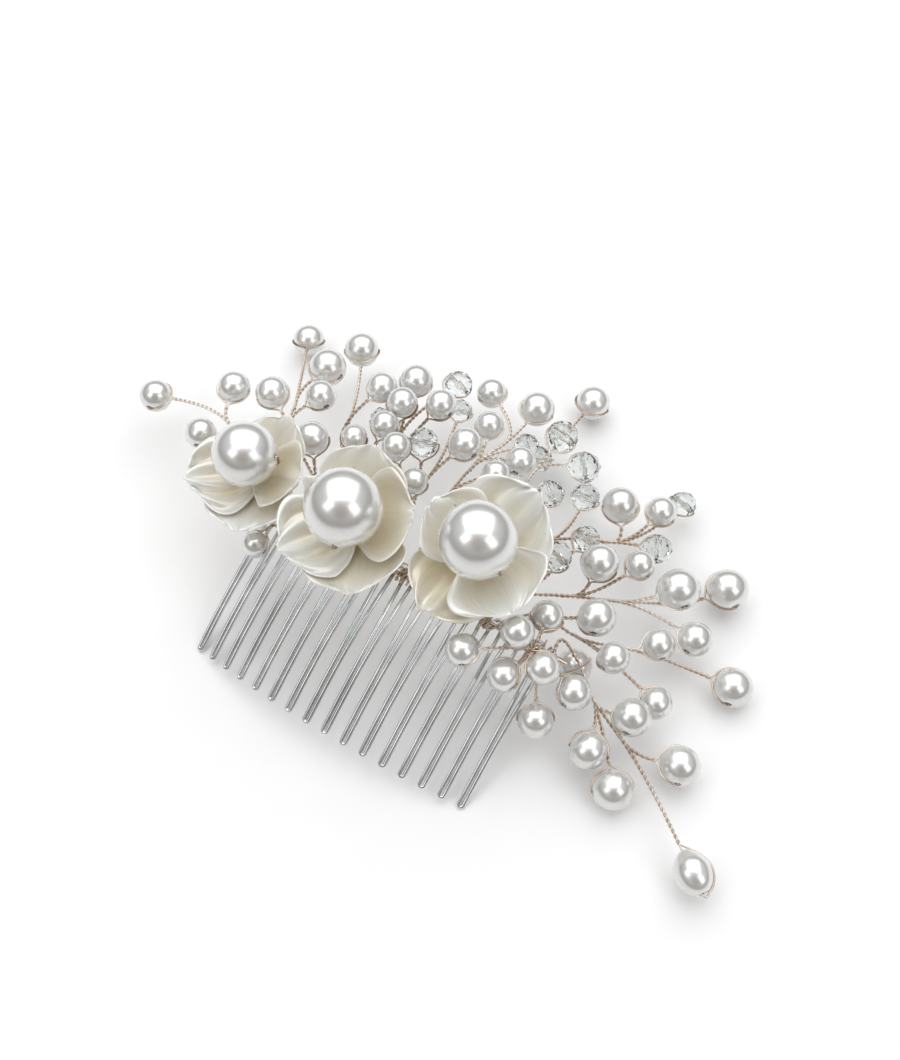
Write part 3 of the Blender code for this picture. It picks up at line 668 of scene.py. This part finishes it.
def drop_path(centre, radius, toward_stem, side):
    """One wire down through a drop and back up one side of it to the stem."""
    half_length = radius * DROP_STRETCH
    hug = STRAND * 0.55
    path = [centre + toward_stem * (half_length + TWIST_END),
            centre + toward_stem * half_length * 0.5,
            centre - toward_stem * (half_length + hug)]
    for turn in arc(160, 30, 9):
        path.append(centre + toward_stem * math.cos(turn) * (half_length + hug)
                    + side * math.sin(turn) * (radius + hug) * (1 - 0.2 * max(0, math.cos(turn))))
    path.append(centre + toward_stem * (half_length + TWIST_END) + side * STRAND * 0.7)
    return smooth_path(path, 3)


twisted_pair = twisted_tree()
beads_of = {}
for slot, spray in enumerate(SLOTS):
    if spray not in SPRAYS:
        continue
    stops, beads = SPRAYS[spray]
    stops = [slot_point(slot, stop) for stop in stops]
    stem = tail_path(slot, stops[0]) + stops
    twisted = [smooth_path(stem, 3)]
    loops = []
    beads_of[spray] = []
    for centre, size, kind, fork, cad_node in beads:
        centre = slot_point(slot, centre)
        radius = size * MM / 2
        reach = radius * DROP_STRETCH if kind == "D" else radius
        branch, toward_stem = branch_path(stem, stops[fork], centre, reach)
        level = toward_stem.cross(Vector((0, 0, 1))).normalized()
        twisted.append(smooth_path(branch, 2))
        if kind == "D":
            bore_axis = toward_stem
            loops.append(drop_path(centre, radius, toward_stem, level))
        else:
            bore_axis = level
            loops.append(loop_path(centre, radius, toward_stem, bore_axis))
        beads_of[spray].append((kind, centre, radius, bore_axis, cad_node))
    stems = drawn(twisted_pair, path_object(twisted),
                  {"Strand radius": STRAND / 2, "Lay": TWIST_LAY, "Sides": 6, "Finish": champagne})
    holds = drawn(round_wire, path_object(loops),
                  {"Wire radius": STRAND / 2, "Sides": 6, "Finish": champagne})
    piece(f"{spray}_wires", [stems, holds], "comb", [spray])

# ------------------------------------------------------------------ small pearls
# Imitation pearls of 5 to 8 mm: a bored ball dipped in many coats of nacre, so the mouth of
# the bore is softly rounded and no two are perfectly round.

BORE_SHARE = 0.17


def pearl_outline(rows, bore_share, stretch=1.0, taper=0.0):
    """Half a bored ball of radius 1, from inside the bore over the lip and down the outside.
    A drop is longer, and drawn in towards its top."""
    lip = bore_share * 0.55
    top = math.acos(bore_share + lip)
    high = math.sin(top)
    outline = []
    for turn in arc(0, 70, 3):
        outline.append((bore_share + lip * (1 - math.cos(turn)), high - lip * (1 - math.sin(turn))))
    for row in range(rows + 1):
        angle = top - 2 * top * row / rows
        outline.append((math.cos(angle), math.sin(angle)))
    outline += [(x, -z) for x, z in reversed(outline[:4])]
    return [(x * (1 - taper * max(0, z) ** 2), z * stretch) for x, z in outline]


def turned_ball(name, outline, steps):
    """The outline turned about Z into one closed bead."""
    shape = bmesh.new()
    corners = [shape.verts.new((x, 0, z)) for x, z in outline]
    edges = [shape.edges.new((corners[index - 1], corner)) for index, corner in enumerate(corners)]
    bmesh.ops.spin(shape, geom=corners + edges, cent=(0, 0, 0), axis=(0, 0, 1),
                   angle=2 * math.pi, steps=steps, use_merge=True)
    bmesh.ops.remove_doubles(shape, verts=shape.verts, dist=1e-5)
    bmesh.ops.recalc_face_normals(shape, faces=shape.faces)
    for face in shape.faces:
        face.smooth = True
    mesh = bpy.data.meshes.new(name)
    shape.to_mesh(mesh)
    shape.free()
    return mesh


def bead_tree():
    """A blank bead set on every point, sized and turned by the point, and slightly uneven."""
    tree = bpy.data.node_groups.new("strung_beads", "GeometryNodeTree")
    face = tree.interface
    face.new_socket("Places", in_out="INPUT", socket_type="NodeSocketGeometry")
    face.new_socket("Blank", in_out="INPUT", socket_type="NodeSocketObject")
    face.new_socket("Unevenness", in_out="INPUT", socket_type="NodeSocketFloat")
    face.new_socket("Finish", in_out="INPUT", socket_type="NodeSocketMaterial")
    face.new_socket("Beads", in_out="OUTPUT", socket_type="NodeSocketGeometry")
    given = node(tree, "NodeGroupInput")
    blank = node(tree, "GeometryNodeObjectInfo")
    link(tree, given.outputs["Blank"], blank.inputs["Object"])
    size = node(tree, "GeometryNodeInputNamedAttribute", {"Name": "bead_radius"}, data_type="FLOAT")
    turn = node(tree, "GeometryNodeInputNamedAttribute", {"Name": "bead_turn"},
                data_type="FLOAT_VECTOR")
    strung = node(tree, "GeometryNodeInstanceOnPoints")
    link(tree, given.outputs["Places"], strung.inputs["Points"])
    link(tree, blank.outputs["Geometry"], strung.inputs["Instance"])
    link(tree, turn.outputs["Attribute"], strung.inputs["Rotation"])
    link(tree, size.outputs["Attribute"], strung.inputs["Scale"])
    whole = node(tree, "GeometryNodeRealizeInstances")
    link(tree, strung.outputs["Instances"], whole.inputs["Geometry"])
    wobble = node(tree, "ShaderNodeTexNoise", {"Scale": 180.0, "Detail": 0.0})
    centred = node(tree, "ShaderNodeMath", {1: 0.5}, operation="SUBTRACT")
    link(tree, wobble.outputs["Fac"], centred.inputs[0])
    amount = node(tree, "ShaderNodeMath", operation="MULTIPLY")
    link(tree, centred.outputs[0], amount.inputs[0])
    link(tree, given.outputs["Unevenness"], amount.inputs[1])
    push = node(tree, "ShaderNodeVectorMath", operation="SCALE")
    link(tree, node(tree, "GeometryNodeInputNormal").outputs["Normal"], push.inputs[0])
    link(tree, amount.outputs[0], push.inputs["Scale"])
    uneven = node(tree, "GeometryNodeSetPosition")
    link(tree, whole.outputs["Geometry"], uneven.inputs["Geometry"])
    link(tree, push.outputs[0], uneven.inputs["Offset"])
    dressed = node(tree, "GeometryNodeSetMaterial")
    link(tree, uneven.outputs["Geometry"], dressed.inputs["Geometry"])
    link(tree, given.outputs["Finish"], dressed.inputs["Material"])
    out = node(tree, "NodeGroupOutput")
    link(tree, dressed.outputs["Geometry"], out.inputs[0])
    return tree


def bead_places(beads):
    """A starting object with one point for each bead, which carries its radius and turn."""
    mesh = bpy.data.meshes.new("bead_places")
    mesh.from_pydata([centre for kind, centre, radius, axis, cad_node in beads], [], [])
    sizes = mesh.attributes.new("bead_radius", "FLOAT", "POINT")
    turns = mesh.attributes.new("bead_turn", "FLOAT_VECTOR", "POINT")
    for index, (kind, centre, radius, axis, cad_node) in enumerate(beads):
        sizes.data[index].value = radius
        turns.data[index].vector = axis.to_track_quat("Z", "Y").to_euler()
    return bpy.data.objects.new("bead_places", mesh)


def nacre(name, clear_coat):
    """Layered pearl nacre: a soft metallic glow under a clear coat."""
    made = made_material(name, {"Metallic": 0.62, "Coat Weight": clear_coat,
                                "Coat Roughness": 0.06, "IOR": 1.6})
    cloud = grain(made, 120.0, detail=2.0)
    link(made, ramp(made, cloud, [(0.35, (0.76, 0.76, 0.74)), (0.65, (0.84, 0.84, 0.83))]),
         socket(made, "Base Color"))
    skin = grain(made, 900.0, detail=3.0)
    link(made, between(made, skin, 0.20, 0.28), socket(made, "Roughness"))
    bump(made, skin, 0.004 * MM, 0.5)
    return made


small_nacre = nacre("small_pearl_nacre", 0.6)
strung_beads = bead_tree()
pearl_blank = bpy.data.objects.new(
    "pearl_blank", turned_ball("pearl_blank", pearl_outline(20, BORE_SHARE), 28))
for spray, beads in beads_of.items():
    pearls = [bead for bead in beads if bead[0] == "P"]
    if not pearls:
        continue
    mesh = drawn(strung_beads, bead_places(pearls),
                 {"Blank": pearl_blank, "Unevenness": PEARL_UNEVENNESS, "Finish": small_nacre})
    piece(f"{spray}_pearls", [mesh], "comb", [bead[4] for bead in pearls if bead[4]])

# ------------------------------------------------------------------ drop pearl
# The spray that points down ends in a drop-shaped pearl, longer than it is wide.

DROP_TAPER = 0.3

drop_blank = bpy.data.objects.new(
    "drop_blank",
    turned_ball("drop_blank", pearl_outline(24, BORE_SHARE, DROP_STRETCH, DROP_TAPER), 32))
drops = [bead for bead in beads_of["spray_low_right"] if bead[0] == "D"]
drop_mesh = drawn(strung_beads, bead_places(drops),
                  {"Blank": drop_blank, "Unevenness": PEARL_UNEVENNESS, "Finish": small_nacre})
piece("drop_pearl", [drop_mesh], "comb", [drops[0][4]])

# ------------------------------------------------------------------ crystals
# Clear faceted glass beads of 4.5 to 6.5 mm, cut in rows of triangular facets round the bore.

FACETS = 8
# Each ring of corners: its height, its radius, and whether it is turned half a facet.
CUT_RINGS = ((0.80, 0.17, False), (0.86, 0.46, False), (0.50, 0.84, True), (0.0, 1.0, False),
             (-0.50, 0.84, True), (-0.86, 0.46, False), (-0.80, 0.17, False))


def cut_bead():
    """One bead of radius 1 with triangular facets; its bore runs along Z."""
    shape = bmesh.new()
    rings = []
    for height, radius, turned in CUT_RINGS:
        shift = 0.5 if turned else 0.0
        rings.append([shape.verts.new((radius * math.cos(2 * math.pi * (k + shift) / FACETS),
                                       radius * math.sin(2 * math.pi * (k + shift) / FACETS),
                                       height)) for k in range(FACETS)])
    for ring, (above, below) in enumerate(zip(rings, rings[1:] + rings[:1])):
        above_turned = CUT_RINGS[ring][2]
        below_turned = CUT_RINGS[(ring + 1) % len(CUT_RINGS)][2]
        for k in range(FACETS):
            after = (k + 1) % FACETS
            if above_turned == below_turned:
                shape.faces.new((above[k], below[k], below[after], above[after]))
            elif below_turned:
                shape.faces.new((above[k], below[k], above[after]))
                shape.faces.new((above[after], below[k], below[after]))
            else:
                shape.faces.new((above[k], below[k], below[after]))
                shape.faces.new((above[k], below[after], above[after]))
    bmesh.ops.recalc_face_normals(shape, faces=shape.faces)
    bmesh.ops.bevel(shape, geom=list(shape.edges), offset=0.015, segments=1, affect="EDGES")
    mesh = bpy.data.meshes.new("crystal_blank")
    shape.to_mesh(mesh)
    shape.free()
    return mesh


cut_glass = made_material("cut_glass", {"Transmission Weight": 1.0, "IOR": 1.54})
tint = grain(cut_glass, 90.0, detail=1.0)
link(cut_glass, ramp(cut_glass, tint, [(0.3, (0.84, 0.88, 0.87)), (0.7, (0.93, 0.95, 0.95))]),
     socket(cut_glass, "Base Color"))
link(cut_glass, between(cut_glass, grain(cut_glass, 700.0), 0.0, 0.04),
     socket(cut_glass, "Roughness"))
crystal_blank = bpy.data.objects.new("crystal_blank", cut_bead())
for spray, beads in beads_of.items():
    crystals = [bead for bead in beads if bead[0] == "C"]
    if not crystals:
        continue
    mesh = drawn(strung_beads, bead_places(crystals),
                 {"Blank": crystal_blank, "Unevenness": 0.0, "Finish": cut_glass})
    piece(f"{spray}_crystals", [mesh], "comb",
          [bead[4] for bead in crystals if bead[4]])

# ------------------------------------------------------------------ flower petals
# Five thin shell petals to a flower, each cupped and pleated from its eyelet to a wavy rim, and
# threaded one over the other.  Their finish is satin.  Their colour carries painted shade, beige and
# warmer towards the eyelet and in the fold valleys, and a painted highlight, white at the rim.

PETAL_THICKNESS = 0.4 * MM
PETAL_WALL = 0.38 * MM
PETAL_GAP = 0.35 * MM
PLEAT_DEPTH = 0.25 * MM
RIM_CURL = 0.35 * MM
EYELET_RADIUS = 1.7 * MM
PETAL_HOLE = 1.5 * MM
BOWL_RADIUS = 13.0 * MM
BOWL_POWER = 2.2
LOOP_WIRE = 0.4 * MM

# Each flower: its body, its pearl's centre and size, the lean of its axis (right, front, in
# degrees), the heading of the pearl's bore, and its petals from the lowest up.  A petal is its
# heading in degrees, length, half width and cup at the rim in mm, then how many folds fan out
# over it and how deep they are in mm, how far its rim waves in mm, and how much painted warm shade it
# gets.
FLOWERS = {
    "flower_left": ("left_pearl", (-6.5, 0, 12), 12.0, (-6, 15), 20, (
        (140, 10.0, 6.0, 5.0, 2, 0.2, 0.6, 0.2), (290, 13.0, 9.0, 5.0, 3, 0.2, 0.7, 0.0),
        (85, 11.0, 6.5, 6.0, 2, 0.3, 0.7, 0.4), (222, 12.5, 8.0, 5.5, 4, 1.0, 0.5, 0.1),
        (5, 10.5, 7.0, 7.5, 2, 0.2, 0.7, 0.8))),
    "flower_middle": ("middle_pearl", (0.5, -2, 17), 14.0, (4, 18), -72, (
        (172, 11.0, 6.5, 5.5, 2, 0.3, 0.6, 0.4), (308, 14.5, 9.5, 5.5, 2, 0.2, 0.9, 0.6),
        (100, 13.0, 8.5, 6.0, 3, 0.35, 0.7, 0.4), (242, 13.5, 8.5, 6.0, 4, 0.8, 0.6, 0.0),
        (28, 12.0, 8.5, 7.0, 2, 0.25, 0.7, 0.9))),
    "flower_right": ("right_pearl", (3.5, 5, 17), 13.8, (6, 16), 155, (
        (15, 11.0, 6.0, 5.0, 2, 0.2, 0.5, 0.0), (262, 15.0, 8.5, 3.5, 3, 0.6, 0.7, 1.0),
        (72, 14.0, 9.5, 5.5, 4, 0.45, 0.7, 0.0), (328, 13.5, 9.5, 6.5, 2, 0.3, 1.1, 0.1),
        (170, 11.5, 7.5, 7.0, 2, 0.2, 0.8, 0.4))),
}


def petal_mesh(name, seed, heading, length, half_width, cup, folds, fold_depth, wave, warm_shade_amount):
    """A cupped petal with its eyelet, on a bowl about the flower's axis."""
    shape = bmesh.new()
    shape.loops.layers.uv.new("petal")
    bmesh.ops.create_grid(shape, x_segments=44, y_segments=34, size=1.0, calc_uvs=True)
    rim = shape.verts.layers.float.new("rim")
    painted_rim_light_fold_shade = shape.verts.layers.float.new("painted_rim_light_fold_shade")
    painted_warm_shade = shape.verts.layers.float.new("painted_warm_shade")
    flat = {}
    for corner in shape.verts:
        across, out = corner.co.x, (corner.co.y + 1) / 2
        swell = math.sin(math.pi / 2 * min(1.0, out / 0.62)) ** 1.4
        narrowing = max(0.0, out - 0.6) / 0.42
        foot = math.sin(math.pi / 2 * min(1.0, out / 0.12))
        half = (EYELET_RADIUS + (half_width - EYELET_RADIUS) * swell) * (0.6 + 0.4 * foot)
        half *= math.sqrt(1 - narrowing * narrowing)
        ragged = 0.045 * noise.noise((across * 3.0, seed, 0.0)) \
            + 0.035 * noise.noise((across * 10.0, seed, 5.0))
        reach = (length + EYELET_RADIUS) * out * (1 - 0.10 * across * across * out)
        reach *= 1 + ragged * out * out
        side_ragged = 1 + 0.05 * noise.noise((out * 5.0, across, seed + 9.0)) * abs(across)
        x = across * half * side_ragged
        y = -EYELET_RADIUS + reach
        corner[rim] = max(out ** 3, abs(across) ** 3 * min(1.0, out * 2.5))
        flat[corner] = (across, out)
        corner.co = Vector((x, y, 0))
    hole = PETAL_HOLE / 2
    inside = [corner for corner in shape.verts if corner.co.length < hole]
    bmesh.ops.delete(shape, geom=inside, context="VERTS")
    for corner in shape.verts:
        if corner.is_boundary and corner.co.length < EYELET_RADIUS * 0.8:
            corner.co = corner.co.normalized() * hole
    for corner in shape.verts:
        across, out = flat[corner]
        x, y = corner.co.x, corner.co.y
        spread = math.hypot(x, max(y, 0.0)) / BOWL_RADIUS
        height = cup * spread ** BOWL_POWER + PETAL_THICKNESS / 2
        height += PLEAT_DEPTH * spread * math.cos(across * math.pi * 2)
        fan = math.sin(across * folds * math.pi + seed * 1.7 + 0.8 * noise.noise((across, seed, 2.0)))
        height += fold_depth * MM * spread ** 1.3 * fan
        edge = max(0.0, (corner[rim] - 0.45) / 0.55)
        height += wave * MM * edge * noise.noise((across * 2.2, out * 2.2, seed + 20.0)) * 1.4
        height -= RIM_CURL * edge * edge
        # Painted light: lighter at the rim as a painted highlight and on fold ridges, darker towards
        # the eyelet and in fold valleys as painted shade.
        corner[painted_rim_light_fold_shade] = corner[rim] + 0.25 * fold_depth * (fan - 0.4) * (1 - corner[rim])
        # Painted warm shade, strongest away from the rim, scaled by the petal's amount.
        corner[painted_warm_shade] = warm_shade_amount * (1 - 0.7 * corner[rim])
        corner.co = Vector((x, y, height))
    bmesh.ops.rotate(shape, verts=shape.verts, cent=(0, 0, 0),
                     matrix=Matrix.Rotation(math.radians(heading - 90), 3, "Z"))
    for face in shape.faces:
        face.smooth = True
    mesh = bpy.data.meshes.new(name)
    shape.to_mesh(mesh)
    shape.free()
    return mesh


shell = made_material("shell_lustre", {"Metallic": 0.25, "Coat Weight": 0.55,
                                       "Coat Roughness": 0.16, "IOR": 1.55,
                                       "Subsurface Weight": 0.25, "Subsurface Scale": 0.8 * MM,
                                       "Subsurface Radius": (1.0, 0.95, 0.85)})
# The petals' colour ramp is painted light: beige painted shade at the eyelet and in fold valleys, and a
# white painted highlight at the rim.
rim_light_fold_shade_node = node(shell, "ShaderNodeAttribute", attribute_name="painted_rim_light_fold_shade")
painted_light_tone = ramp(shell, rim_light_fold_shade_node.outputs["Fac"],
                  [(0.0, (0.82, 0.75, 0.58)), (0.14, (0.90, 0.86, 0.74)),
                   (0.45, (0.93, 0.92, 0.86)), (0.80, (0.95, 0.96, 0.93)),
                   (0.90, (1.0, 1.0, 0.99))])
fan_lines = grain(shell, 8.0, (5.0, 0.35, 1.0), detail=4.0, source="UV")
streaks = ramp(shell, fan_lines, [(0.35, (0.94, 0.93, 0.90)), (0.65, (1.0, 1.0, 1.0))])
shell_colour = node(shell, "ShaderNodeMix", {"Factor": 1.0}, data_type="RGBA", blend_type="MULTIPLY")
# Painted warm shade: a beige mixed into the petal colour by each petal's amount.
warm_shade_node = node(shell, "ShaderNodeAttribute", attribute_name="painted_warm_shade")
warm_shaded = node(shell, "ShaderNodeMix", {"B": (0.80, 0.71, 0.52, 1.0)}, data_type="RGBA")
link(shell, warm_shade_node.outputs["Fac"], warm_shaded.inputs["Factor"])
link(shell, painted_light_tone, warm_shaded.inputs["A"])
link(shell, warm_shaded.outputs["Result"], shell_colour.inputs["A"])
link(shell, streaks, shell_colour.inputs["B"])
link(shell, shell_colour.outputs["Result"], socket(shell, "Base Color"))
link(shell, between(shell, fan_lines, 0.24, 0.40), socket(shell, "Roughness"))
bump(shell, fan_lines, 0.04 * MM, 0.5)


def flower_place(flower):
    """The flower's own frame, and how high its petals stack and its pearl sits in it."""
    body, pearl_at, pearl_size, lean, bore, petals = FLOWERS[flower]
    stack = (len(petals) - 1) * (PETAL_THICKNESS + PETAL_GAP) + PETAL_THICKNESS
    pearl_lift = stack + CLEARANCE * 3 + LOOP_WIRE + pearl_size * MM / 2
    centre = slot_point(SLOTS.index(flower), pearl_at)
    tilt = Matrix.Rotation(math.radians(lean[0]), 4, "Y") @ \
        Matrix.Rotation(math.radians(lean[1]), 4, "X")
    place = Matrix.Translation(centre) @ tilt @ Matrix.Translation((0, 0, -pearl_lift))
    return place, stack, pearl_lift


for number, (flower, (body, pearl_at, size, lean, bore, petals)) in enumerate(FLOWERS.items()):
    place, stack, pearl_lift = flower_place(flower)
    for layer, (heading, length, half_width, cup, folds, depth, wave, warm_shade_amount) in enumerate(petals):
        name = f"{flower}_shell_petal_{layer + 1}"
        mesh = petal_mesh(name, number * 7.3 + layer * 1.9, heading, length * MM,
                          half_width * MM, cup * MM, folds, depth, wave, warm_shade_amount)
        mesh.transform(place @ Matrix.Translation((0, 0, layer * (PETAL_THICKNESS + PETAL_GAP))))
        mesh.materials.append(shell)
        petal = piece(name, [mesh], "comb", [f"{flower}_petal_{layer + 1}"])
        wall = petal.modifiers.new("wall", "SOLIDIFY")
        wall.thickness = PETAL_WALL
        wall.offset = 0.0
        rounding = petal.modifiers.new("rounding", "SUBSURF")
        rounding.levels = 1
        rounding.render_levels = 1

# ------------------------------------------------------------------ flower pearls
# A large imitation pearl of 12 to 14 mm sits in each flower, threaded across on the flower's
# wire so that it can be turned on it.

LARGE_BORE_SHARE = 0.085

large_nacre = nacre("large_pearl_nacre", 0.8)
large_blank = bpy.data.objects.new(
    "large_blank", turned_ball("large_blank", pearl_outline(44, LARGE_BORE_SHARE), 64))
for flower, (body, pearl_at, size, lean, bore, petals) in FLOWERS.items():
    place, stack, pearl_lift = flower_place(flower)
    bore_axis = place.to_3x3() @ (Matrix.Rotation(math.radians(bore), 3, "Z") @ Vector((1, 0, 0)))
    centre = place @ Vector((0, 0, pearl_lift))
    mesh = drawn(strung_beads, bead_places([("P", centre, size * MM / 2, bore_axis, None)]),
                 {"Blank": large_blank, "Unevenness": PEARL_UNEVENNESS, "Finish": large_nacre})
    piece(f"{flower}_large_pearl", [mesh], body, [f"{flower}_pearl"])

# ------------------------------------------------------------------ flower wires
# One champagne wire goes through the large pearl, down both its sides and through the petals'
# eyelets, and is twisted below them and wound round the vine.

FLOWER_NECK = 1.5 * MM

for flower, (body, pearl_at, size, lean, bore, petals) in FLOWERS.items():
    place, stack, pearl_lift = flower_place(flower)
    slot = SLOTS.index(flower)
    below = place @ Vector((0, 0, -FLOWER_NECK))
    top = place @ Vector((0, 0, stack + 0.2 * MM))
    stem = smooth_path(tail_path(slot, below) + [below, top], 4)
    across = Matrix.Rotation(math.radians(bore), 3, "Z") @ Vector((1, 0, 0))
    upright = Vector((0, 0, 1))
    reach = size * MM / 2 + LOOP_WIRE * 0.6
    centre = upright * pearl_lift
    side = [upright * (stack - 0.5 * MM) + across * 0.15 * MM]
    for turn in arc(8, 84, 8):
        side.append(centre + (across * math.sin(turn) - upright * math.cos(turn)) * reach)
    side.append(centre + across * (reach + 0.05 * MM))
    side.append(centre + across * reach * 0.85)
    mirror = [Vector((-spot.x, -spot.y, spot.z)) for spot in side]
    loop = smooth_path([place @ spot for spot in side + mirror[::-1]], 3)
    twisted = drawn(twisted_pair, path_object([stem]),
                    {"Strand radius": STRAND / 2, "Lay": TWIST_LAY, "Sides": 8,
                     "Finish": champagne})
    hold = drawn(round_wire, path_object([loop]),
                 {"Wire radius": LOOP_WIRE / 2, "Sides": 8, "Finish": champagne})
    piece(f"{flower}_threading", [twisted, hold], "comb", [f"{flower}_wire"])
